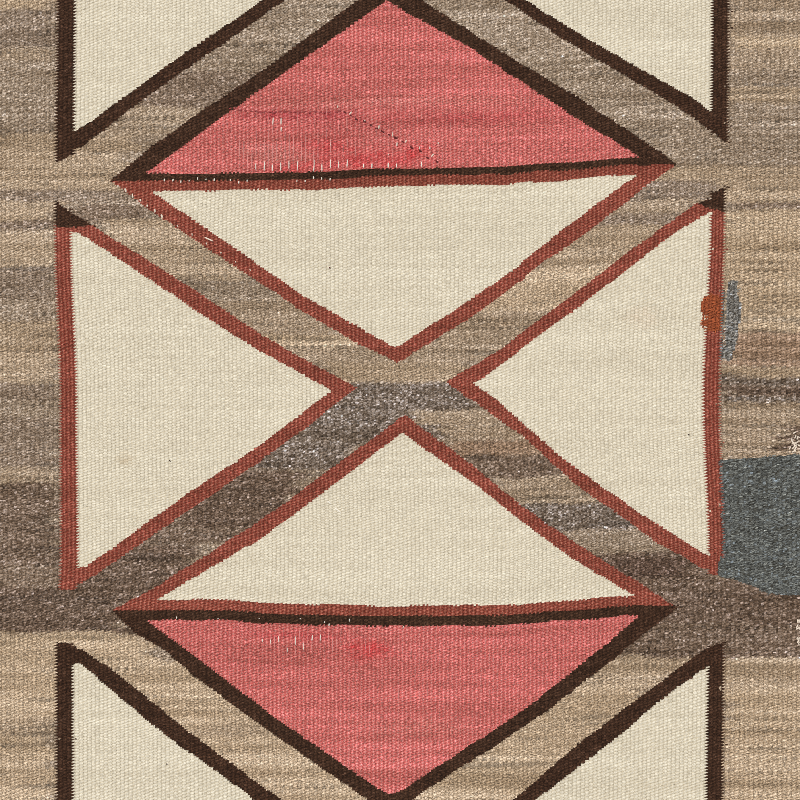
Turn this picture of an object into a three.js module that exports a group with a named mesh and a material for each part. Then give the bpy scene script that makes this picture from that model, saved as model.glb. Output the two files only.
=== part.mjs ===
// A flat cut length of a hand-woven wool tapestry rug, lying on a floor.
// Millimetres, +Z up. The origin is on the floor under the middle of the rug.
// The warp yarns run along Y. The weft hides them, and each one stands up as a low rib.
import * as THREE from "three";

// Driving dimensions
const WARP_PITCH = 3.36; // from one warp yarn to the next, about 7.6 to the inch
const WARP_COUNT = 198; // warp yarns across the cut length
const PICK_PITCH = 1.18; // from one weft pick to the next, about 21.5 to the inch
const PICK_COUNT = 564; // weft picks along the cut length
const THICKNESS = 3.2; // from the floor to the crest of a rib
const RIB_HEIGHT = 0.7; // from the bottom of a groove to the crest of a rib
const RIB_STEPS = 4; // straight steps that round one rib

// Sizes that follow from them
const WIDTH = WARP_COUNT * WARP_PITCH;
const LENGTH = PICK_COUNT * PICK_PITCH;
const GROOVE_HEIGHT = THICKNESS - RIB_HEIGHT;

const wool = new THREE.MeshStandardMaterial({
  name: "undyed_wool",
  color: new THREE.Color(0.56, 0.48, 0.4),
  roughness: 0.95,
  metalness: 0,
});

// The section across the warps: a flat underside, and one round rib over each warp yarn.
function ribbedSection() {
  const section = new THREE.Shape();
  section.moveTo(-WIDTH / 2, 0);
  section.lineTo(WIDTH / 2, 0);
  for (let step = 0; step <= WARP_COUNT * RIB_STEPS; step += 1) {
    const ribs = step / RIB_STEPS;
    const rise = Math.abs(Math.sin(Math.PI * ribs));
    section.lineTo(WIDTH / 2 - ribs * WARP_PITCH, GROOVE_HEIGHT + RIB_HEIGHT * rise);
  }
  section.closePath();
  return section;
}

// The section drawn out along the warps, as long as the picks reach, and laid on the floor.
function rugCloth() {
  const geometry = new THREE.ExtrudeGeometry(ribbedSection(), {
    depth: LENGTH,
    steps: 1,
    bevelEnabled: false,
  });
  geometry.translate(0, 0, -LENGTH / 2);
  geometry.rotateX(Math.PI / 2);
  const cloth = new THREE.Mesh(geometry, wool);
  cloth.name = "rug";
  return cloth;
}

const part = new THREE.Group();
part.name = "tapestry_rug";
part.add(rugCloth());

export default part;
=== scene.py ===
import bpy
import numpy as np
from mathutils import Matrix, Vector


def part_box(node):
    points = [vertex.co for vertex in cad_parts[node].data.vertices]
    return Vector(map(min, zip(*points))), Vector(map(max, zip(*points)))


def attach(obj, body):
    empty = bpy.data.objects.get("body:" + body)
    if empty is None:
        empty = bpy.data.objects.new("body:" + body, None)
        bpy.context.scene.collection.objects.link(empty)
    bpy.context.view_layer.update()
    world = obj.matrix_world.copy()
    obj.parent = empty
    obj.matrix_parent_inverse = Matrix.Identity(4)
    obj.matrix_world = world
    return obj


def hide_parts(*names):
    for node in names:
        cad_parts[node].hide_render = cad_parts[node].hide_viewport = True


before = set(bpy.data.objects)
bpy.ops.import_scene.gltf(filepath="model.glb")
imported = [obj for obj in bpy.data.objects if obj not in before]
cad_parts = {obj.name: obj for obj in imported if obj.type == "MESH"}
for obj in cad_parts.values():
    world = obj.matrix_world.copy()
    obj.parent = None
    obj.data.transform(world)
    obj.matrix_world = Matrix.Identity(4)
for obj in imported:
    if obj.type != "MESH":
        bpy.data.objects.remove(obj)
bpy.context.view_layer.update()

# Weave
MM = 0.001
rug_low, rug_high = (np.array(corner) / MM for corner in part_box("rug"))
WIDTH, LENGTH, THICKNESS = rug_high - rug_low
WARPS = 198
PICKS = 564
WARP_PITCH = WIDTH / WARPS
PICK_PITCH = LENGTH / PICKS
# How far a bead's crest, the notch above it, the groove beside it and its four corners lie below the top
CREST, NOTCH, GROOVE, CORNER = range(4)
DROPS = np.array([0.0, 0.42, 0.45, 0.85])
GAP_SHADE_SHARES = np.array([0.0, 0.7, 0.5, 1.0])  # how dark the painted gap shade makes each of them
RIB_WEAR_AND_HIGHLIGHT_SHARES = np.array([1.0, 0.8, 0.0, 0.0])  # how much wear and painted highlight each of them gets
TOP = LENGTH / 2
BOTTOM = -LENGTH / 2
UNDER_GROOVE = 0.6  # height of the grooves of the lower face
SEED = 11
CREST_SWAY = (0.28, 0.2)  # how far crests stray across and along the warps
CREST_WEAR = 0.1
CORE_INSET = 0.4  # how far the slab inside the cloth stays behind the cut edges
CORE_CLEARANCE = (0.1, 0.15)  # and from the lower face's grooves and the upper face's corners

# Slow changes over the cloth: how much, how wide and how tall their blotches are, and a seed
CROWDING = (3.2, 150, 45, SEED)  # picks packed more tightly in some places
OUTLINE_WANDER = (0.7, 14, 6, SEED + 1)
STREAK_DRIFT = (2.0, 40, 9, SEED + 2)
STREAK_RAGGED = (1.2, 11, 3, SEED + 3)
STREAK_ENDS = (14, 60, 3, SEED + 4)
TINT_RAGGED = (0.3, 9, 2.4, SEED + 5)
SLOW_STREAKS = ((1.0, 130, 8, SEED + 7), (1.0, 80, 3.2, SEED + 8), (1.1, 70, 1.3, SEED + 9))
SLANT_CHANGE = (0.3, 30, 12, SEED + 12)
UNEVEN_TEETH = (0.85, 40, 2.4, SEED + 13)
DARK_LINES = (1.0, 45, 1.6, SEED + 15)
LONG_BANDS = (1.0, 320, 5, SEED + 16)
CROWDING_FADE = 30  # how far from the cut ends the crowding is less
MEAN_SLANT = 0.2  # how far a bead's ends rise and fall, in picks
BEAD_LEAN = 0.3  # how far apart, in picks, the yarns of a bead's two halves are looked up
TOOTH_ZONE = 1.3  # how near a shared warp, in warps, the outlines are uneven
STREAK_EDGE = (10, 2.4)  # how wide and how tall the soft edge of a streak is
LINE_START, LINE_SPAN, LINE_DEPTH = 0.5, 0.35, 0.4  # which blotches are dark lines, and how dark
TINT_REACH = 1.1
TINT_STRENGTH = (0.3, 1.0)  # the least and the most that a stain, and the painted seam shadow, tint a bead at its middle
BEAD_SHARE, GRAIN_SHARE = 0.35, 0.95  # how much of a face's chance its bead and its own fibres give
BRIGHTEST = 0.95
UV_MARGIN = 0.01

# Warps that two weft colours share, where their turns make a row of teeth
SHARED_WARPS = (16, 20, 174, 178)
LEFT_OUTER, LEFT_INNER, RIGHT_INNER, RIGHT_OUTER = (
    (warp + 0.5 - WARPS / 2) * WARP_PITCH for warp in SHARED_WARPS
)

# Where the shared warps and the cut edges lie at each height, from the bottom to the top
DRIFT_HEIGHTS = (-333, -200, -128, 0, 138, 200, 333)
WARP_PATHS = {
    0: (-WIDTH / 2,) * 7,
    16.5: (-275, -275.3, -271.5, -271.8, -276.2, -275.6, -274),
    20.5: (-261.5, -262, -257.8, -259, -263.5, -260.8, -260),
    174.5: (244.8, 246.4, 246.8, 242.7, 248.6, 249, 249.8),
    178.5: (258, 259, 259, 255.5, 259.5, 262.3, 263),
    WARPS: (WIDTH / 2,) * 7,
}

# How far the picks rise above straight at each height, at eight places across the rug
RISE_PLACES = (-333, -160, -80, 0, 78, 125, 190, 333)
PICK_RISE = {
    -333: (0, 0, 0, 0, 0, 0, 0, 0),
    -168: (4, 5, 1.5, 0.2, 0.4, 4, 8.5, 6),
    0: (0, 0, 0, 0, 1, 2, 3, 2),
    180: (-4, -4, -3.4, 0.2, 1, 4, 9, 8),
    333: (0, 0, 0, 0, 0, 0, 0, 0),
}

# The woven pattern: a wool and the outline that it fills, each laid over the ones before
PATTERN = (
    # Corner triangles at the top
    ("dark", ((LEFT_OUTER, TOP), (LEFT_OUTER, 194), (-274, 194), (-195, 252), (-130, 294.5), (-76, TOP))),
    ("cream", ((LEFT_INNER, TOP), (LEFT_INNER, 217), (-175, 278.5), (-92, TOP))),
    ("dark", ((66, TOP), (158, 271.5), (200, 244), (226, 228), (RIGHT_OUTER, 196.5), (RIGHT_OUTER, TOP))),
    ("cream", ((82, TOP), (177, 272.5), (238, 236), (RIGHT_INNER, 224), (RIGHT_INNER, TOP))),
    # Upper rose triangle
    ("dark", ((-234.5, 179.5), (-200.5, 207), (-155, 238), (-116.5, 262), (-16, TOP), (-2.5, TOP),
              (147, 238), (178, 213.5), (209, 192), (226, 179.5))),
    ("rose", ((-206, 185.5), (-153, 223), (-10, 320), (0, 313.5), (61, 279.5), (118, 240.5),
              (194.5, 185.5))),
    # Cream triangle above the crossing
    ("red", ((-233, 179.5), (-193, 151.5), (-74, 70.5), (-37, 48.5), (1, 29.5), (65, 67.5), (119, 107.5),
             (178.5, 145.5), (225, 179.5))),
    ("cream", ((-200, 171.5), (-172, 153.5), (-145, 134), (-73.5, 83.5), (-1, 41.5), (50, 73), (96.5, 104),
               (137, 135), (195, 171.5))),
    # Small dark corners beside the crossing
    ("dark", ((LEFT_OUTER, 163), (-244, 142.5), (LEFT_OUTER, 141.5))),
    ("dark", ((242, 147.5), (RIGHT_OUTER, 164), (RIGHT_OUTER, 142.5))),
    # Cream triangle left of the crossing
    ("red", ((LEFT_OUTER, 141.5), (-246, 143.5), (-179, 100), (-116, 56.5), (-74, 32), (-32, 10.3),
             (-74, -22), (-159, -82), (-254, -147.5), (-268, -155.5), (LEFT_OUTER, -156))),
    ("cream", ((LEFT_INNER, 138), (-258, 138), (-198, 97.5), (-173, 79.3), (-116, 41.3), (-52.5, 7.6),
               (-117, -39.3), (-180, -81.8), (-256, -137), (LEFT_INNER, -138))),
    # Cream triangle right of the crossing
    ("red", ((RIGHT_OUTER, 142.5), (242, 149), (189.5, 113), (120.5, 64.8), (81, 36.3), (41, 14),
             (102.5, -29), (149, -73), (209, -119.8), (250, -142.5), (258, -148.5), (RIGHT_OUTER, -143.5))),
    ("cream", ((RIGHT_INNER, 143.5), (222, 124.5), (190, 100), (109, 43.8), (77, 20), (64, 12.5),
               (84, -1.5), (137, -49.3), (199, -98), (RIGHT_INNER, -131.8))),
    # Cream triangle below the crossing
    ("red", ((-233, -173), (-196.5, -153), (-117.5, -101), (-53.5, -54.5), (7, -12), (65, -55),
             (118, -99.8), (178, -142), (225, -173))),
    ("cream", ((-197, -164.5), (-157, -140), (-117.5, -115.5), (-54, -68.8), (5, -26.5), (64.5, -69),
               (125.5, -118.8), (160, -143.5), (193.5, -165))),
    # Lower rose triangle
    ("dark", ((-233, -173), (-214, -190.5), (-190, -203.5), (-168, -222.3), (-116, -257.5), (-6, -331.5),
              (61, -289.3), (127, -248), (153, -228.5), (179, -212.5), (231, -173))),
    ("rose", ((-204, -181), (-158, -213.8), (-94.5, -258), (-6.5, -316), (3, -314), (55, -279.8),
              (102, -250.5), (148, -217), (173, -200.3), (198, -181))),
    # Corner triangles at the bottom
    ("dark", ((LEFT_OUTER, -198.3), (-267, -198.3), (-255.5, -203.5), (-217, -230.2), (-178, -261),
              (-126, -297.5), (-75, BOTTOM), (LEFT_OUTER, BOTTOM))),
    ("cream", ((LEFT_INNER, -214), (-258, -214), (-219.5, -245.5), (-177.5, -278), (-126, -311.3),
               (-103, BOTTOM), (LEFT_INNER, BOTTOM))),
    ("dark", ((RIGHT_OUTER, -199.5), (250, -206.8), (210, -235.3), (148.5, -276.8), (80, BOTTOM),
              (RIGHT_OUTER, BOTTOM))),
    ("cream", ((RIGHT_INNER, -219), (232, -233.5), (210, -249), (184.5, -270), (159, -287.3), (97, BOTTOM),
               (RIGHT_INNER, BOTTOM))),
    # Darned mends at the right edge
    ("mend_blue", ((267, -52), (335, -45), (335, -163), (300, -161.5), (281.5, -152.5),
                   (262, -148), (262, -140), (267, -125))),
    ("mend_grey", ((271, 89.5), (278, 90.5), (278, 78.5), (280.5, 72), (279.5, 52), (277, 37.5), (273, 28),
                   (268.5, 30), (270.5, 47), (270, 75))),
    ("mend_orange", ((248.8, 73), (250.5, 78), (255, 80.5), (262, 80), (266, 75), (266, 52), (259, 50.5),
                     (253, 51.5), (250.3, 54.5), (250.3, 60.5), (251.2, 63), (249.5, 66.5))),
)

# Shades of the hand-carded ground wool: how they look in the cloth, as sRGB from 0 to 255, and their mottle
SHADES = {
    "bleached": ((190, 167, 141), 0.08),
    "pale": ((181, 158, 132), 0.12),
    "tan": ((171, 149, 125), 0.15),
    "fawn": ((162, 141, 119), 0.20),
    "grey": ((154, 135, 116), 0.28),
    "ash": ((143, 124, 107), 0.30),
    "brown": ((133, 113, 96), 0.36),
    "umber": ((120, 100, 84), 0.46),
    "dark": ((114, 94, 79), 0.50),
    "soot": ((101, 80, 67), 0.50),
    "slate": ((130, 115, 103), 0.54),
    "ginger": ((155, 128, 106), 0.22),
}

# Streaks of the ground wool and a painted tuft shadow: left, right, top, bottom and shade, each laid over
# the ones before
GROUND_STREAKS_AND_TUFT_SHADOW = (
    # Left border
    (-333, -277, 333, 311, "pale"),
    (-333, -277, 311, 283, "ash"),
    (-333, -277, 283, 273, "fawn"),
    (-333, -276, 273, 215, "grey"),
    (-333, -218, 215, 172, "tan"),
    (-333, -218, 172, 164, "ash"),
    (-333, -275, 164, 147, "tan"),
    (-333, -275, 147, 140, "brown"),
    (-333, -276, 140, 108, "tan"),
    (-333, -277, 108, 82, "ash"),
    (-333, -278, 82, 64, "grey"),
    (-333, -279, 64, 13, "tan"),
    (-333, -276, 13, 0, "ash"),
    (-333, -276, 0, -14, "grey"),
    (-333, -276, -14, -54, "ash"),
    (-333, -276, -54, -69, "fawn"),
    (-333, -276, -69, -137, "umber"),
    (-333, -275, -137, -153, "brown"),
    (-333, -219, -153, -191, "dark"),
    (-333, -202, -191, -258, "bleached"),
    (-333, -277, -258, -269, "tan"),
    (-333, -277, -269, -278, "bleached"),
    (-333, -277, -278, -289, "pale"),
    (-333, -276, -289, -333, "bleached"),
    # Right border
    (262, 333, 333, 291, "fawn"),
    (262, 333, 291, 279, "pale"),
    (263, 333, 279, 260, "fawn"),
    (263, 333, 260, 246, "grey"),
    (263, 333, 246, 231, "tan"),
    (264, 333, 231, 210, "grey"),
    (237, 333, 210, 180, "grey"),
    (205, 333, 179, 151, "tan"),
    (264, 333, 151, 144, "brown"),
    (265, 333, 144, 51, "pale"),
    (268, 333, 51, 25, "ginger"),
    (268, 333, 25, 16, "tan"),
    (268, 333, 16, 10, "slate"),
    (268, 333, 10, 0, "dark"),
    (268, 333, 0, -5, "slate"),
    (267, 333, -5, -48, "fawn"),
    # Painted shadow round the frayed tuft at the right edge
    (309, 333, -24, -42, "dark"),
    (197, 333, -152, -188, "dark"),
    (173, 333, -188, -213, "umber"),
    (132, 333, -213, -237, "tan"),
    (266, 333, -236, -333, "pale"),
    # Bands between the upper corners and the upper rose triangle
    (-219, 17, 333, 265, "grey"),
    (-242, -88, 266, 236, "brown"),
    (-254, -128, 236, 215, "fawn"),
    (17, 261, 333, 212, "grey"),
    # Upper left arm of the cross
    (-263, -192, 161, 147, "brown"),
    (-244, -119, 147, 98, "tan"),
    (-168, -78, 98, 83, "grey"),
    (-148, -54, 83, 53, "fawn"),
    (-108, -38, 52, 42, "bleached"),
    (-87, 12, 42, 30, "fawn"),
    (-63, 53, 30, 14, "tan"),
    # Upper right arm of the cross
    (189, 262, 167, 152, "ash"),
    (173, 246, 152, 141, "fawn"),
    (157, 237, 141, 132, "ash"),
    (117, 222, 133, 101, "tan"),
    (68, 174, 102, 67, "pale"),
    (4, 127, 68, 30, "fawn"),
    # Lower left arm of the cross
    (-87, 37, 6, -32, "slate"),
    (-129, -38, -32, -56, "slate"),
    (-187, -80, -57, -106, "dark"),
    (-212, -122, -106, -120, "umber"),
    (-275, -162, -120, -165, "dark"),
    # Middle and lower right arm of the cross
    (-42, 66, 14, -8, "slate"),
    (8, 95, -7, -21, "fawn"),
    (36, 119, -22, -33, "fawn"),
    (44, 127, -34, -46, "ginger"),
    (52, 142, -46, -64, "umber"),
    (67, 166, -64, -87, "fawn"),
    (91, 197, -87, -110, "slate"),
    (123, 221, -112, -130, "grey"),
    (156, 263, -130, -166, "dark"),
    (178, 240, -136, -150, "soot"),
    # Bands between the lower corners and the lower rose triangle
    (-262, -14, -214, -333, "pale"),
    (-169, -95, -263, -270, "tan"),
    (11, 199, -235, -333, "pale"),
)

# Stains, faded places and a painted seam shadow: yarn, middle x, middle y, half width, half height, and the
# tint at the middle
STAINS_AND_SEAM_SHADOW = (
    ("rose", -22, 193, 58, 13, (0.97, 0.42, 0.48)),
    ("rose", -62, 205, 36, 11, (0.98, 0.52, 0.58)),
    ("rose", -80, 189, 40, 6, (1.0, 0.62, 0.66)),
    ("rose", 16, 200, 16, 8, (1.0, 0.55, 0.60)),
    ("rose", -96, 201, 44, 11, (1.12, 1.5, 1.45)),
    # Painted shadow along the seam
    ("rose", -88, 230.5, 60, 5, (0.68, 0.36, 0.44)),
    ("rose", 60, 225, 110, 8, (0.90, 0.64, 0.70)),
    ("rose", -60, 222, 90, 12, (0.90, 0.80, 0.82)),
    ("rose", 0, 239, 130, 5, (1.05, 1.25, 1.22)),
    ("rose", -22, -201, 26, 11, (1.0, 0.36, 0.42)),
    ("rose", -80, -190, 64, 6, (0.95, 0.64, 0.70)),
    ("rose", 20, -262, 60, 9, (1.05, 1.2, 1.15)),
    ("cream", -224, -49, 8, 7, (0.84, 0.76, 0.66)),
    ("cream", 200, 62, 18, 12, (1.0, 0.94, 0.92)),
)

# Yarns: sRGB colour, how mottled the beads are, how much slow streaks vary, and how much long bands do.
# The ground's colour and mottle come from its streaks
YARNS = {
    "ground": (None, None, 0.19, 0.0),
    "cream": ((0.903, 0.863, 0.777), 0.06, 0.03, 0.02),
    "red": ((0.60, 0.32, 0.255), 0.18, 0.10, 0.06),
    "dark": ((0.282, 0.187, 0.130), 0.28, 0.10, 0.0),
    "rose": ((0.815, 0.472, 0.442), 0.11, 0.12, 0.10),
    "mend_blue": ((0.405, 0.41, 0.39), 0.42, 0.15, 0.0),
    "mend_grey": ((0.53, 0.51, 0.48), 0.50, 0.10, 0.0),
    "mend_orange": ((0.63, 0.325, 0.19), 0.12, 0.06, 0.0),
}
# Paler beads hold more white wool and are greyer, and darker ones browner
CARDING = np.array([0.88, 1.0, 1.18])
# How much lighter the ground yarn is than the cloth with its gaps
GROUND_LIFT = np.array([1.28, 1.30, 1.305])
YARN_NAMES = tuple(YARNS)

# Worn places where warps show: left, right, lowest and highest foot, shortest and longest, warps from one
# to the next, share that shows, half width and colour
WARP_WHITE = (0.97, 0.94, 0.88)
WARP_PINK = (0.90, 0.60, 0.57)
WARP_CREAM = (0.90, 0.84, 0.72)  # where they are hidden inside the cloth
WORN = (
    (-116, -40, 185.5, 188, 5, 9, 2, 0.9, 0.42, WARP_WHITE),
    (-34, 40, 185.5, 187, 3.5, 6.5, 2, 0.75, 0.45, WARP_WHITE),
    (-196, -52, 177, 180, 1.2, 2.2, 2, 0.6, 0.42, WARP_WHITE),
    (-104, 40, 192, 228, 1.5, 4, 2, 0.3, 0.4, WARP_WHITE),
    (-110, 110, 188, 236, 4, 9, 1, 0.5, 0.24, WARP_PINK),
    (-104, -92, 222, 224, 4, 6, 2, 1.0, 0.45, WARP_WHITE),
    (-134, -52, 188, 200, 10, 20, 1, 0.8, 0.3, WARP_PINK),
    (-124, -40, 204, 222, 5, 12, 1, 0.4, 0.26, WARP_PINK),
    (-108, -58, -204, -192, 3, 7, 2, 0.8, 0.4, WARP_WHITE),
    (-112, -40, -210, -192, 6, 14, 1, 0.5, 0.26, WARP_PINK),
    (-110, 110, -240, -188, 4, 9, 1, 0.5, 0.24, WARP_PINK),
    (-56, 40, -186, -180, 1.5, 3, 2, 0.4, 0.4, WARP_WHITE),
    (-186, -10, -182, -176, 1.2, 2, 2, 0.25, 0.4, WARP_WHITE),
)

# Rows of loose yarn ends along a line in the cloth: from x and y to x and y, spacing, length, steepness
# as a share of a right angle, half width and colour
SEAM_ROSE = (0.64, 0.28, 0.29)
SEAM_WINE = (0.36, 0.13, 0.13)
FLECK_CREAM = (0.93, 0.86, 0.78)
SPECK_BROWN = (0.22, 0.15, 0.12)
ENDS = (
    (-136, 233.5, -112, 230.5, 4, 3.0, 0.1, 0.45, SEAM_ROSE),
    (-112, 230.5, -44, 230.5, 4, 3.0, 0.1, 0.45, SEAM_ROSE),
    (-44, 230.5, -4, 210, 5.5, 3.2, -0.3, 0.55, SEAM_WINE),
    (-4, 210, 29, 191, 7, 2.8, -0.3, 0.55, SEAM_WINE),
    (-50, 235, 26, 196, 12, 3.0, 0.8, 0.50, FLECK_CREAM),
    (-226, 171.5, -190, 147, 6.7, 3.0, 1.15, 0.55, FLECK_CREAM),
    (-190, 147, -120, 103.5, 13, 2.0, 1.1, 0.45, FLECK_CREAM),
    (-153, 128.3, -148, 127.6, 6, 6.5, -0.12, 0.70, FLECK_CREAM),
    (-57, -82, -50, -88, 5, 6.5, -0.4, 0.40, WARP_WHITE),
    (-56, 105.5, -53, 105.5, 4, 1.6, 0.3, 0.50, SEAM_WINE),
    (231, -28, 233, -28, 4, 1.8, 0.2, 0.45, SPECK_BROWN),
    (-184, -48, -183, -48, 4, 2.0, -0.3, 0.45, SPECK_BROWN),
    (-186, -291, -185, -291, 4, 1.6, 0.2, 0.40, SPECK_BROWN),
)

# Frayed tufts: middle x and y, half width, half height, count and length
FRAYS = (
    (317, -34, 6, 8, 24, 5),
    (319.5, -185, 2.5, 10, 15, 4),
)

# The ground's pieces, by their first and last warps
GROUND_PARTS = {"left": (0, 66), "middle": (66, 132), "right": (132, WARPS)}


def linear(colour):
    """An sRGB colour as the linear values that shaders use."""
    colour = np.asarray(colour, float)
    return np.where(colour <= 0.04045, colour / 12.92, ((colour + 0.055) / 1.055) ** 2.4)


def eased(share):
    """A share from 0 to 1 that starts and ends gently."""
    share = np.clip(share, 0, 1)
    return share * share * (3 - 2 * share)


def blotches(change, xs, ys):
    """Smooth noise at those places, up to as much as the change says either way."""
    amount, wide, tall, seed = change
    columns = int(WIDTH / wide) + 4
    rows = int(LENGTH / tall) + 4
    lattice = np.random.default_rng(seed).uniform(-1, 1, (rows, columns))
    across = np.clip((xs + WIDTH / 2) / wide + 1, 0, columns - 1.001)
    up = np.clip((ys + LENGTH / 2) / tall + 1, 0, rows - 1.001)
    left = across.astype(int)
    low = up.astype(int)
    across = eased(across - left)
    up = eased(up - low)
    lower = lattice[low, left] * (1 - across) + lattice[low, left + 1] * across
    upper = lattice[low + 1, left] * (1 - across) + lattice[low + 1, left + 1] * across
    return amount * (lower * (1 - up) + upper * up)


def inside(outline, xs, ys):
    """Which points lie inside an outline."""
    found = np.zeros(xs.shape, bool)
    for (x0, y0), (x1, y1) in zip(outline, outline[1:] + outline[:1]):
        if y0 == y1:
            continue
        crosses = (y0 > ys) != (y1 > ys)
        found ^= crosses & (xs < x0 + (ys - y0) * (x1 - x0) / (y1 - y0))
    return found


def between(stations, at):
    """For each place, the station below it and the eased share of the way to the next one."""
    stations = np.asarray(stations, float)
    lower = np.clip(np.searchsorted(stations, at, side="right") - 1, 0, len(stations) - 2)
    return lower, eased((at - stations[lower]) / (stations[lower + 1] - stations[lower]))


def placed(warps, heights):
    """Where points of the straight pattern lie in the drifted cloth. Heights have a row for each pick."""
    guides = np.array(list(WARP_PATHS), float)
    paths = np.array([np.interp(warps, guides, xs) for xs in zip(*WARP_PATHS.values())])
    column = np.arange(len(warps))
    lower, share = between(DRIFT_HEIGHTS, heights)
    xs = paths[lower, column] * (1 - share) + paths[lower + 1, column] * share
    rises = np.array(list(PICK_RISE.values()), float)
    lower, share = between(list(PICK_RISE), heights)
    left, across = between(RISE_PLACES, xs)
    below = rises[lower, left] * (1 - across) + rises[lower, left + 1] * across
    above = rises[lower + 1, left] * (1 - across) + rises[lower + 1, left + 1] * across
    ys = heights + below * (1 - share) + above * share
    return xs, np.clip(ys, BOTTOM, TOP)


def nominal_x(warps):
    """How far from the middle a warp lies in the straight pattern."""
    return (warps - WARPS / 2) * WARP_PITCH


# Crests of the beads, in the straight pattern and in the drifted cloth
row_number, warp_number = np.indices((PICKS + 1, WARPS))
is_centre = (row_number + warp_number) % 2 == 0
crest_warps = np.arange(WARPS) + 0.5
pattern_x = np.broadcast_to(nominal_x(crest_warps), row_number.shape)
even_height = BOTTOM + row_number * PICK_PITCH
edge_fade = eased((TOP - np.abs(even_height)) / CROWDING_FADE)
pattern_y = even_height + edge_fade * blotches(CROWDING, pattern_x, even_height)
crest_x, crest_y = placed(crest_warps, pattern_y)


def yarn_map(xs, ys):
    """The yarn at each place of the straight pattern, as a number in YARN_NAMES."""
    wander = blotches(OUTLINE_WANDER, xs, ys)
    uneven = np.zeros(xs.shape)
    for line in (LEFT_OUTER, LEFT_INNER, RIGHT_INNER, RIGHT_OUTER):
        uneven[np.abs(xs - line) < TOOTH_ZONE * WARP_PITCH] = WARP_PITCH
    reach = uneven * blotches(UNEVEN_TEETH, xs, ys)
    yarns = np.zeros(xs.shape, int)
    for yarn, outline in PATTERN:
        is_mend = yarn.startswith("mend")
        yarns[inside(outline, xs if is_mend else xs + reach, ys + wander)] = YARN_NAMES.index(yarn)
    return yarns


def ground_look():
    """The streaked colour of the ground wool, with a painted shadow round a frayed tuft, and how mottled it
    is, at each crest point.
    """
    edge_width, edge_height = STREAK_EDGE
    ragged_x = pattern_x + blotches(STREAK_ENDS, pattern_x, pattern_y)
    ragged_y = pattern_y + blotches(STREAK_DRIFT, pattern_x, pattern_y)
    ragged_y = ragged_y + blotches(STREAK_RAGGED, pattern_x, pattern_y)
    colours = np.zeros(crest_x.shape + (3,))
    mottle = np.zeros(crest_x.shape)
    everywhere = (-WIDTH, WIDTH, LENGTH, -LENGTH, "grey")
    for left, right, top, bottom, shade in (everywhere,) + GROUND_STREAKS_AND_TUFT_SHADOW:
        colour, change = SHADES[shade]
        up = np.clip(np.minimum(top - ragged_y, ragged_y - bottom) / edge_height + 0.5, 0, 1)
        across = np.clip(np.minimum(ragged_x - left, right - ragged_x) / edge_width + 0.5, 0, 1)
        share = up * across
        mottle += (change - mottle) * share
        colours += (linear(np.array(colour) / 255) * GROUND_LIFT - colours) * share[..., None]
    dark_lines = eased((blotches(DARK_LINES, pattern_x, pattern_y) - LINE_START) / LINE_SPAN)
    return colours * (1 - LINE_DEPTH * dark_lines[..., None]), mottle


def tints_of_stains_and_shadow(yarn):
    """The tint that a yarn's stains and the painted seam shadow give at each crest point. They fade out
    unevenly from bead to bead.
    """
    tints = np.ones(crest_x.shape + (3,))
    rng = np.random.default_rng(SEED + 6)
    for tinted_yarn, x, y, half_width, half_height, tint in STAINS_AND_SEAM_SHADOW:
        if tinted_yarn == yarn:
            far = np.hypot((pattern_x - x) / half_width, (pattern_y - y) / half_height)
            ragged = blotches(TINT_RAGGED, pattern_x, pattern_y)
            strength = eased(TINT_REACH - far + ragged) * rng.uniform(*TINT_STRENGTH, crest_x.shape)
            tints = tints * (1 - strength[..., None] * (1 - np.array(tint)))
    return tints


# Tone of each bead: slow streaks along the weft, and chance from bead to bead
slow_change = sum(blotches(streaks, pattern_x, pattern_y) for streaks in SLOW_STREAKS)
long_bands = blotches(LONG_BANDS, pattern_x, pattern_y)
single_change = np.random.default_rng(SEED + 10).normal(0, 1, crest_x.shape)
ground_colour, ground_mottle = ground_look()
stain_and_shadow_tints = {yarn: tints_of_stains_and_shadow(yarn) for yarn in ("rose", "cream")}


def bead_colours(yarns, rows, warps, grain):
    """The linear colours of faces of those yarns, rows and warps. Grain is each face's own chance."""
    colours = np.zeros(yarns.shape + (3,))
    for number, (yarn, (colour, mottle, streak_change, band_change)) in enumerate(YARNS.items()):
        here = yarns == number
        row, warp = rows[here], warps[here]
        if yarn == "ground":
            base = ground_colour[row, warp]
            mottle = ground_mottle[row, warp]
        else:
            base = linear(colour)
        # Stains, and on the rose the painted seam shadow
        if yarn in stain_and_shadow_tints:
            base = base * stain_and_shadow_tints[yarn][row, warp]
        chance = BEAD_SHARE * single_change[row, warp] + GRAIN_SHARE * grain[here]
        tone = mottle * chance - mottle ** 2 / 2
        tone = tone + streak_change * slow_change[row, warp] + band_change * long_bands[row, warp]
        tint = np.exp(tone[:, None] * CARDING)
        colours[here] = np.clip(base * tint, 0, BRIGHTEST)
    return colours


# Teeth stand on a shared warp wherever the yarns to its left and right differ
yarn_at = yarn_map(pattern_x, pattern_y)
tooth_at = np.zeros(crest_x.shape, bool)
for warp in SHARED_WARPS:
    tooth_at[:, warp] = is_centre[:, warp] & (yarn_at[:, warp - 1] != yarn_at[:, warp + 1])
tooth_at[[0, -1]] = False


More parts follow.
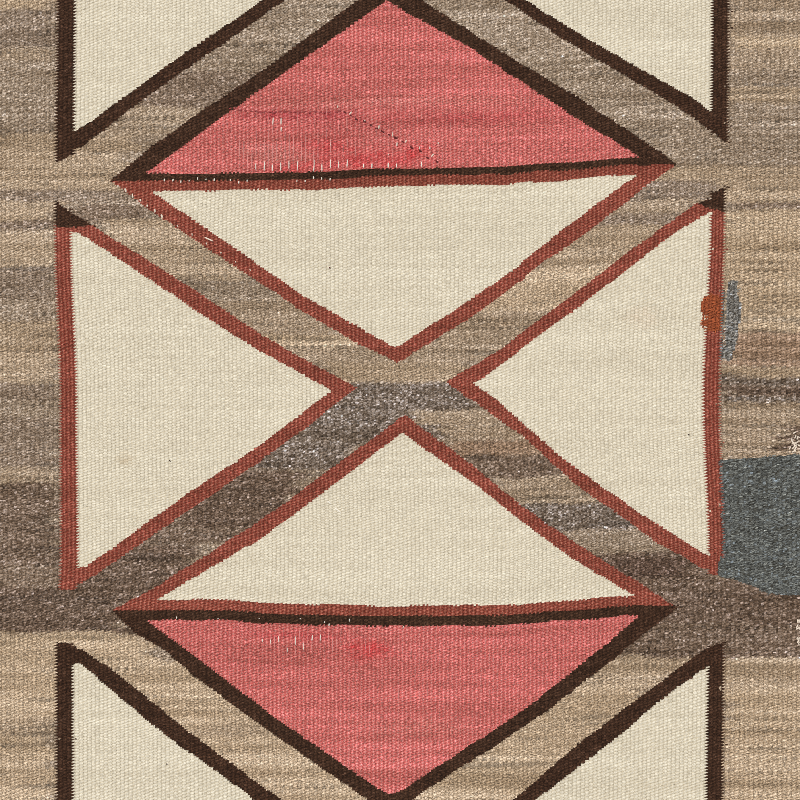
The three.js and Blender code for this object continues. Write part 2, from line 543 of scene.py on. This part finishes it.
def face_points():
    """The points of the woven face: for each row and warp the left groove, the crest and the right one."""
    rng = np.random.default_rng(SEED + 11)
    slant = PICK_PITCH * (MEAN_SLANT + blotches(SLANT_CHANGE, pattern_x, pattern_y))
    left_x, left_y = placed(crest_warps - 0.5, pattern_y - slant)
    right_x, right_y = placed(crest_warps + 0.5, pattern_y + slant)
    sway_x, sway_y = (rng.normal(0, sway, crest_x.shape) for sway in CREST_SWAY)
    between_teeth = np.zeros(crest_x.shape, bool)
    between_teeth[1:-1] = tooth_at[:-2] & tooth_at[2:]
    crest_kind = np.where(is_centre | between_teeth, CREST, NOTCH)
    groove_kind = np.where(is_centre, GROOVE, CORNER)
    crest_z = THICKNESS - DROPS[crest_kind] - np.abs(rng.normal(0, CREST_WEAR, crest_x.shape))
    groove_z = THICKNESS - DROPS[groove_kind]
    crest_ys = np.clip(crest_y + sway_y, BOTTOM, TOP)
    left = np.stack([left_x, left_y, groove_z], -1)
    crest = np.stack([crest_x + sway_x, crest_ys, crest_z], -1)
    right = np.stack([right_x, right_y, groove_z], -1)
    return np.stack([left, crest, right], 2), np.stack([groove_kind, crest_kind, groove_kind], 2)


def point(row, warp, side):
    """The number of a point: side 0 is the left groove, 1 the crest and 2 the right groove."""
    return (row * WARPS + warp) * 3 + side


class Faces:
    """Faces of the cloth in groups, with the yarn, the colour and the warp of each face."""

    def __init__(self):
        self.corners, self.yarns, self.colours, self.warps = [], [], [], []
        self.rng = np.random.default_rng(SEED + 14)

    def add(self, corners, yarns, rows, warps):
        grain = self.rng.normal(0, 1, yarns.shape)
        self.corners.append(np.stack(corners, -1))
        self.yarns.append(yarns)
        self.colours.append(bead_colours(yarns, rows, warps, grain))
        self.warps.append(warps)


def add_beads(faces):
    """The quads of every bead that is not a tooth. A bead at a colour change is split between its yarns."""
    rows, warps = np.indices((PICKS, WARPS))
    owner = rows + (rows + warps) % 2
    plain = ~tooth_at[owner, warps]
    rows, warps, owner = rows[plain], warps[plain], owner[plain]
    middle_y = (pattern_y[rows, warps] + pattern_y[rows + 1, warps]) / 2
    for side in (0, 1):
        lean = (side - 0.5) * BEAD_LEAN * PICK_PITCH
        yarns = yarn_map(nominal_x(warps + 0.25 + 0.5 * side), middle_y + lean)
        corners = (point(rows, warps, side), point(rows, warps, side + 1), point(rows + 1, warps, side + 1),
                   point(rows + 1, warps, side))
        faces.add(corners, yarns, owner, warps)


def add_teeth(faces, first_free):
    """Pointed teeth on the shared warps. Gives the two extra points that each tooth needs."""
    rows, warps = np.nonzero(tooth_at)
    below = first_free + np.arange(len(rows))
    above = below + len(rows)
    low_left, mid_left, high_left = (point(rows + step, warps, 0) for step in (-1, 0, 1))
    low, mid, high = (point(rows + step, warps, 1) for step in (-1, 0, 1))
    low_right, mid_right, high_right = (point(rows + step, warps, 2) for step in (-1, 0, 1))
    left_yarns = yarn_at[rows, warps - 1]
    left_faces = ((low_left, below, mid, mid_left), (mid_left, mid, above, high_left),
                  (below, mid_right, mid), (mid, mid_right, above))
    for corners in left_faces:
        faces.add(corners, left_yarns, rows, warps)
    right_yarns = yarn_at[rows, warps + 1]
    right_faces = ((low_left, low, below), (low, low_right, mid_right, below),
                   (above, mid_right, high_right, high), (high_left, above, high))
    for corners in right_faces:
        faces.add(corners, right_yarns, rows, warps)
    halfway = [(points[mid] + points[end]) / 2 for end in (low, high)]
    extra = np.concatenate(halfway)
    extra[:, 2] -= DROPS[NOTCH]
    return extra


def add_walls(faces, first_free):
    """Walls from the border of the upper face down to the lower face. Gives their points."""
    rows = np.arange(PICKS + 1)
    warps = np.repeat(np.arange(WARPS), 3)
    sides = np.tile([0, 1, 2], WARPS)
    first_row, first_warp = np.zeros_like(warps), np.zeros_like(rows)
    loop_row = np.concatenate([first_row, rows, first_row + PICKS, rows[::-1]])
    loop_warp = np.concatenate([warps, first_warp + WARPS - 1, warps[::-1], first_warp])
    loop_side = np.concatenate([sides, first_warp + 2, sides[::-1], first_warp])
    top = points[point(loop_row, loop_warp, loop_side)]
    foot = top.copy()
    foot[:, 2] = np.where(loop_side == 1, 0, UNDER_GROOVE)
    here = first_free + np.arange(len(top))
    after = np.roll(here, -1)
    corners = (here + len(top), after + len(top), after, here)
    faces.add(corners, yarn_at[loop_row, loop_warp], loop_row, loop_warp)
    return np.concatenate([top, foot])


points, kinds = face_points()
points = points.reshape(-1, 3)
kinds = kinds.ravel()
upper_faces = Faces()
add_beads(upper_faces)
tooth_points = add_teeth(upper_faces, len(points))
points = np.concatenate([points, tooth_points])
kinds = np.concatenate([kinds, np.full(len(tooth_points), NOTCH)])
wall_points = add_walls(upper_faces, len(points))
points = np.concatenate([points, wall_points])
# The walls take the grooves' share of painted gap shade
kinds = np.concatenate([kinds, np.full(len(wall_points), GROOVE)])


def wool_material(name, gap_shade_colour, gap_shade_start, rib_wear_and_highlight_colour, fibre_change, sheen):
    """Spun wool: the yarn's own colours, fine fibres, painted shade in the gaps between beads, and ribs
    made paler by wear and a painted highlight.
    """
    material = bpy.data.materials.new(name)
    material.use_nodes = True
    nodes = material.node_tree.nodes
    links = material.node_tree.links
    shader = nodes["Principled BSDF"]
    shader.inputs["Roughness"].default_value = 0.95
    shader.inputs["Specular IOR Level"].default_value = 0.15
    shader.inputs["Sheen Weight"].default_value = sheen
    shader.inputs["Sheen Roughness"].default_value = 0.6

    yarn = nodes.new("ShaderNodeAttribute")
    yarn.attribute_name = "yarn"
    depth = nodes.new("ShaderNodeAttribute")
    depth.attribute_name = "depth"
    place = nodes.new("ShaderNodeTexCoord")
    stretch = nodes.new("ShaderNodeMapping")
    stretch.inputs["Scale"].default_value = (800, 1200, 800)
    links.new(place.outputs["Object"], stretch.inputs["Vector"])
    fibres = nodes.new("ShaderNodeTexNoise")
    fibres.inputs["Scale"].default_value = 1.0
    fibres.inputs["Detail"].default_value = 3.0
    fibres.inputs["Roughness"].default_value = 0.6
    links.new(stretch.outputs["Vector"], fibres.inputs["Vector"])

    fibre_tone = nodes.new("ShaderNodeMapRange")
    fibre_tone.inputs["From Min"].default_value = 0.35
    fibre_tone.inputs["From Max"].default_value = 0.65
    fibre_tone.inputs["To Min"].default_value = 1 - fibre_change
    fibre_tone.inputs["To Max"].default_value = 1 + fibre_change
    links.new(fibres.outputs["Fac"], fibre_tone.inputs["Value"])
    fibred = nodes.new("ShaderNodeVectorMath")
    fibred.operation = "SCALE"
    links.new(yarn.outputs["Color"], fibred.inputs[0])
    links.new(fibre_tone.outputs["Result"], fibred.inputs["Scale"])
    # Painted shade: the gaps between beads are darkened towards the gap shade colour
    gap = nodes.new("ShaderNodeMapRange")
    gap.interpolation_type = "SMOOTHSTEP"
    gap.inputs["From Min"].default_value = gap_shade_start
    links.new(depth.outputs["Fac"], gap.inputs["Value"])
    shaded = nodes.new("ShaderNodeMix")
    shaded.data_type = "RGBA"
    shaded.blend_type = "MULTIPLY"
    shaded.inputs["B"].default_value = (*gap_shade_colour, 1)
    links.new(gap.outputs["Result"], shaded.inputs["Factor"])
    links.new(fibred.outputs["Vector"], shaded.inputs["A"])

    # Ribs paler towards their crests, from wear and a painted highlight along them
    rib = nodes.new("ShaderNodeAttribute")
    rib.attribute_name = "rib"
    rib_wear_and_highlight = nodes.new("ShaderNodeMapRange")
    rib_wear_and_highlight.interpolation_type = "SMOOTHSTEP"
    rib_wear_and_highlight.inputs["From Min"].default_value = 0.45
    links.new(rib.outputs["Fac"], rib_wear_and_highlight.inputs["Value"])
    worn = nodes.new("ShaderNodeMix")
    worn.data_type = "RGBA"
    worn.blend_type = "MULTIPLY"
    worn.inputs["B"].default_value = (*rib_wear_and_highlight_colour, 1)
    links.new(rib_wear_and_highlight.outputs["Result"], worn.inputs["Factor"])
    links.new(shaded.outputs["Result"], worn.inputs["A"])
    links.new(worn.outputs["Result"], shader.inputs["Base Color"])

    bump = nodes.new("ShaderNodeBump")
    bump.inputs["Strength"].default_value = 0.5
    bump.inputs["Distance"].default_value = 0.2 * MM
    links.new(fibres.outputs["Fac"], bump.inputs["Height"])
    links.new(bump.outputs["Normal"], shader.inputs["Normal"])
    return material


# Wools: colour of the painted gap shade, where it starts, colour of the ribs' wear and painted highlight,
# change between fibres, and sheen
MATERIALS = {
    name: wool_material(f"{name}_wool_yarn", *look)
    for name, look in {
        "ground": ((0.57, 0.52, 0.46), 0.15, (1.0, 1.0, 1.0), 0.70, 0.12),
        "cream": ((0.75, 0.71, 0.63), 0.25, (1.0, 1.0, 1.0), 0.20, 0.12),
        "red": ((0.55, 0.33, 0.28), 0.1, (1.24, 1.72, 1.80), 0.50, 0.08),
        "dark": ((0.48, 0.45, 0.43), 0.2, (1.05, 1.05, 1.05), 0.60, 0.03),
        "rose": ((0.76, 0.42, 0.42), 0.1, (1.08, 1.42, 1.44), 0.58, 0.08),
        "mend_blue": ((0.60, 0.60, 0.62), 0.25, (1.0, 1.0, 1.0), 0.65, 0.12),
        "mend_grey": ((0.34, 0.34, 0.34), 0.25, (1.0, 1.0, 1.0), 0.50, 0.12),
        "mend_orange": ((0.50, 0.40, 0.35), 0.25, (1.0, 1.0, 1.0), 0.35, 0.10),
        "warp": ((0.70, 0.64, 0.55), 0.25, (1.0, 1.0, 1.0), 0.10, 0.10),
    }.items()
}


def cloth_piece(name, yarn, polygons, colours, points, kinds):
    """A mesh of the given polygons, smooth over each bead and creased between beads."""
    used, corners = np.unique(np.concatenate([group.ravel() for group in polygons]), return_inverse=True)
    corners = corners.ravel()
    sizes = np.concatenate([np.full(len(group), group.shape[1]) for group in polygons])
    mesh = bpy.data.meshes.new(name)
    mesh.vertices.add(len(used))
    mesh.vertices.foreach_set("co", (points[used] * MM).ravel())
    mesh.loops.add(len(corners))
    mesh.loops.foreach_set("vertex_index", corners)
    mesh.polygons.add(len(sizes))
    mesh.polygons.foreach_set("loop_start", np.concatenate([[0], np.cumsum(sizes)[:-1]]))
    mesh.update(calc_edges=True)
    mesh.shade_smooth()

    ends = np.empty(len(mesh.edges) * 2, np.int32)
    mesh.edges.foreach_get("vertices", ends)
    crease = (kinds[used][ends.reshape(-1, 2)] != CREST).all(axis=1)
    mesh.attributes.new("sharp_edge", "BOOLEAN", "EDGE").data.foreach_set("value", crease)
    rgba = np.ones((len(sizes), 4))
    rgba[:, :3] = np.concatenate(colours)
    mesh.attributes.new("yarn", "FLOAT_COLOR", "FACE").data.foreach_set("color", rgba.ravel())
    # How much painted shade darkens each point, and how much wear and painted highlight its rib gets
    mesh.attributes.new("depth", "FLOAT", "POINT").data.foreach_set("value", GAP_SHADE_SHARES[kinds[used]])
    mesh.attributes.new("rib", "FLOAT", "POINT").data.foreach_set("value", RIB_WEAR_AND_HIGHLIGHT_SHARES[kinds[used]])

    flat = points[used][:, :2]
    low, high = flat.min(axis=0), flat.max(axis=0)
    unfolded = UV_MARGIN + (1 - 2 * UV_MARGIN) * (flat - low) / (high - low)
    mesh.uv_layers.new(name="OFBake").data.foreach_set("uv", unfolded[corners].ravel())
    mesh.materials.append(MATERIALS[yarn])
    piece = bpy.data.objects.new(name, mesh)
    bpy.context.scene.collection.objects.link(piece)
    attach(piece, "root")
    return piece


def yarn_pieces(prefix, faces, points, kinds):
    """One piece for each yarn of a face of the cloth. The ground is in three, as one would be too large."""
    made = []
    for number, yarn in enumerate(YARN_NAMES):
        parts = GROUND_PARTS if yarn == "ground" else {"": (0, WARPS)}
        for part, (first, last) in parts.items():
            chosen = [(y == number) & (w >= first) & (w < last) for y, w in zip(faces.yarns, faces.warps)]
            polygons = [group[pick] for group, pick in zip(faces.corners, chosen) if pick.any()]
            colours = [group[pick] for group, pick in zip(faces.colours, chosen) if pick.any()]
            name = "_".join(word for word in (prefix, yarn, part) if word)
            made.append(cloth_piece(name, yarn, polygons, colours, points, kinds))
    return made


def underside():
    """The lower face: plain ribs with the same pattern as above."""
    rows, warps = np.indices((PICKS // 2 + 1, WARPS))
    heights = pattern_y[::2]
    under = []
    for side, rise in ((-0.5, UNDER_GROOVE), (0, 0.0), (0.5, UNDER_GROOVE)):
        xs, ys = placed(crest_warps + side, heights)
        under.append(np.stack([xs, ys, np.full_like(xs, rise)], -1))
    under_points = np.stack(under, 2).reshape(-1, 3)
    under_kinds = np.tile([GROOVE, CREST, GROOVE], rows.size)
    faces = Faces()
    rows, warps = rows[:-1].ravel(), warps[:-1].ravel()
    middle = 2 * rows + 1
    for side in (0, 1):
        yarns = yarn_map(nominal_x(warps + 0.25 + 0.5 * side), pattern_y[middle, warps])
        corners = (point(rows, warps, side), point(rows + 1, warps, side), point(rows + 1, warps, side + 1),
                   point(rows, warps, side + 1))
        faces.add(corners, yarns, middle, warps)
    return yarn_pieces("under", faces, under_points, under_kinds)


cloth = yarn_pieces("weft", upper_faces, points, kinds) + underside()

# Loose yarns: short lengths that lie on the cloth, pointed at both ends.
# Each point of one: how far along it lies, on which side, and how far up
SLIVER_SHAPE = (
    (0, 0, 0),
    *((share, side, rise) for share in (0.2, 0.8) for side, rise in ((1, 0), (0, 1), (-1, 0))),
    (1, 0, 0),
)
SLIVER_FACES = ((0, 2, 1), (0, 3, 2), (5, 7, 4), (6, 7, 5), (2, 5, 4, 1), (3, 6, 5, 2))
SLIVER_HEIGHT = 0.3
SLIVER_SINK = 0.1  # how far a loose yarn sinks between the beads


def sliver_piece(name, yarn, starts, ends, half_widths, colours):
    """A piece of loose yarns from the starts to the ends."""
    starts, ends = np.array(starts), np.array(ends)
    along = ends - starts
    across = np.stack([-along[:, 1], along[:, 0]], -1) / np.linalg.norm(along, axis=1, keepdims=True)
    across = across * half_widths[:, None]
    corners = [np.column_stack([starts + along * share + across * side,
                                np.full(len(starts), THICKNESS - SLIVER_SINK + SLIVER_HEIGHT * rise)])
               for share, side, rise in SLIVER_SHAPE]
    sliver_points = np.stack(corners, 1).reshape(-1, 3)
    first = np.arange(len(starts))[:, None] * len(SLIVER_SHAPE)
    polygons = [first + np.array(face) for face in SLIVER_FACES]
    flat_kinds = np.full(len(sliver_points), CREST)
    return cloth_piece(name, yarn, polygons, [colours] * len(polygons), sliver_points, flat_kinds)


def at_warp(warp, height):
    """The place in the drifted cloth on a warp at a height of the straight pattern."""
    row = np.abs(pattern_y[:, warp] - height).argmin()
    return np.array([crest_x[row, warp], crest_y[row, warp]])


def bare_warps():
    """Warps that show where the weft is worn away."""
    rng = np.random.default_rng(SEED + 20)
    starts, ends, half_widths, colours = [], [], [], []
    for left, right, lowest, highest, shortest, longest, step, share, half_width, colour in WORN:
        first, last = (int(x / WARP_PITCH + WARPS / 2) for x in (left, right))
        for warp in range(first, last, step):
            foot = rng.uniform(lowest, highest)
            length = rng.uniform(shortest, longest)
            if rng.uniform() < share:
                starts.append(at_warp(warp, foot))
                ends.append(at_warp(warp, foot + length) + rng.normal(0, 0.25, 2))
                half_widths.append(half_width * rng.uniform(0.8, 1.2))
                colours.append(linear(colour) * rng.uniform(0.75, 1.0))
    return sliver_piece("bare_warps", "warp", starts, ends, np.array(half_widths), np.array(colours))


def loose_ends():
    """Ends of yarn that stick out of the cloth in rows and in frayed tufts."""
    rng = np.random.default_rng(SEED + 22)
    starts, ends, half_widths, colours = [], [], [], []

    def lay(middle, turn, length, half_width, colour):
        reach = np.array([np.cos(turn), np.sin(turn)]) * length / 2
        starts.append(np.clip(middle - reach, -WIDTH / 2, WIDTH / 2))
        ends.append(np.clip(middle + reach, -WIDTH / 2, WIDTH / 2))
        half_widths.append(half_width)
        colours.append(linear(colour) * rng.uniform(0.75, 1.1))

    for x0, y0, x1, y1, spacing, length, steepness, half_width, colour in ENDS:
        for share in np.linspace(0, 1, int(np.hypot(x1 - x0, y1 - y0) / spacing) + 1):
            middle = np.array([x0 + (x1 - x0) * share, y0 + (y1 - y0) * share]) + rng.normal(0, 0.35, 2)
            turn = (steepness + rng.normal(0, 0.15)) * np.pi / 2
            lay(middle, turn, length * rng.uniform(0.6, 1.3), half_width * rng.uniform(0.7, 1.3), colour)
    for x, y, half_width, half_height, count, length in FRAYS:
        for _ in range(count):
            middle = np.array([x + half_width * rng.normal(0, 0.5), y + half_height * rng.uniform(-1, 1)])
            lay(middle, rng.uniform(0.1, 0.9) * np.pi, length * rng.uniform(0.5, 1.1), 0.5, FLECK_CREAM)
    return sliver_piece("loose_ends", "warp", starts, ends, np.array(half_widths), np.array(colours))


def stitches(name, yarn, count, length, steepest, change):
    """Uneven darning stitches over the beads of a mend."""
    rng = np.random.default_rng(SEED + 21)
    rows, warps = np.nonzero(yarn_at == YARN_NAMES.index(yarn))
    pick = rng.integers(0, len(rows), count)
    middle = np.stack([crest_x[rows[pick], warps[pick]], crest_y[rows[pick], warps[pick]]], -1)
    middle = middle + rng.normal(0, 0.8, middle.shape)
    turn = rng.uniform(-0.2, steepest, count)
    reach = np.stack([np.cos(turn), np.sin(turn)], -1) * rng.uniform(0.5, 1.0, (count, 1)) * length / 2
    colours = linear(YARNS[yarn][0]) * np.exp(rng.normal(0, change, (count, 1)))
    ends = np.clip(middle + reach, -WIDTH / 2, WIDTH / 2)
    return sliver_piece(name, yarn, middle - reach, ends, rng.uniform(0.3, 0.5, count), colours)


cloth.append(bare_warps())
cloth.append(loose_ends())
cloth.append(stitches("stitches_blue", "mend_blue", 1800, 4.5, 0.7, 0.4))
cloth.append(stitches("stitches_grey", "mend_grey", 140, 4.0, 1.4, 0.5))
cloth.append(stitches("stitches_orange", "mend_orange", 90, 3.5, 1.5, 0.2))


def cloth_core():
    """A flat slab of hidden warps between the two faces. It is the sheet that the woven faces cover."""
    below, above = CORE_CLEARANCE
    low, high = UNDER_GROOVE + below, THICKNESS - DROPS[CORNER] - above
    half_width, half_length = WIDTH / 2 - CORE_INSET, LENGTH / 2 - CORE_INSET
    corners = [(x, y) for y in (-half_length, half_length) for x in (-half_width, half_width)]
    mesh = bpy.data.meshes.new("cloth_core")
    slab = [(x * MM, y * MM, z * MM) for z in (low, high) for x, y in corners]
    faces = ((0, 2, 3, 1), (4, 5, 7, 6), (0, 1, 5, 4), (1, 3, 7, 5), (3, 2, 6, 7), (2, 0, 4, 6))
    mesh.from_pydata(slab, [], faces)
    mesh.materials.append(MATERIALS["warp"])
    rgba = [*linear(WARP_CREAM), 1] * len(faces)
    mesh.attributes.new("yarn", "FLOAT_COLOR", "FACE").data.foreach_set("color", rgba)
    core = bpy.data.objects.new("cloth_core", mesh)
    bpy.context.scene.collection.objects.link(core)
    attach(core, "root")
    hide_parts("rug")


cloth_core()

# Floor, light and camera
FRAME_WIDTH = 640  # how much of the rug the photo shows
LENS = 85
SENSOR = 36
FLOOR_HALF = 30.0  # in metres
FLOOR_LEVEL = -0.0003  # in metres
FLOOR_COLOUR = (0.72, 0.71, 0.69, 1)
SKY_STRENGTH = 0.55
KEY_STRENGTH = 2.2
KEY_ANGLE = 0.5  # how wide the key light looks, in radians
KEY_TURN = (-38, -30, 0)  # in degrees
scene = bpy.context.scene


def floor():
    """A plain pale floor just under the rug, too wide for its edge to show."""
    material = bpy.data.materials.new("pale_floor")
    material.use_nodes = True
    shader = material.node_tree.nodes["Principled BSDF"]
    shader.inputs["Base Color"].default_value = FLOOR_COLOUR
    shader.inputs["Roughness"].default_value = 0.8
    mesh = bpy.data.meshes.new("floor")
    corners = ((-1, -1), (1, -1), (1, 1), (-1, 1))
    places = [(x * FLOOR_HALF, y * FLOOR_HALF, FLOOR_LEVEL) for x, y in corners]
    mesh.from_pydata(places, [], [(0, 1, 2, 3)])
    mesh.materials.append(material)
    piece = bpy.data.objects.new("floor", mesh)
    scene.collection.objects.link(piece)


def studio():
    """Even light from all round, a large soft light from the upper left, and a camera straight above."""
    world = bpy.data.worlds.new("soft_sky")
    scene.world = world
    world.use_nodes = True
    sky = world.node_tree.nodes["Background"]
    sky.inputs["Color"].default_value = (1.0, 1.0, 1.0, 1)
    sky.inputs["Strength"].default_value = SKY_STRENGTH
    light = bpy.data.lights.new("key_light", "SUN")
    light.energy = KEY_STRENGTH
    light.angle = KEY_ANGLE
    key = bpy.data.objects.new("key_light", light)
    key.rotation_euler = np.radians(KEY_TURN)
    scene.collection.objects.link(key)
    lens = bpy.data.cameras.new("camera")
    lens.lens = LENS
    lens.sensor_width = SENSOR
    camera = bpy.data.objects.new("camera", lens)
    camera.location = (0, 0, (THICKNESS + FRAME_WIDTH * LENS / SENSOR) * MM)
    scene.collection.objects.link(camera)
    scene.camera = camera
    scene.view_settings.view_transform = "Standard"
    scene.cycles.use_denoising = False
    scene.cycles.filter_width = 0.8


floor()
studio()
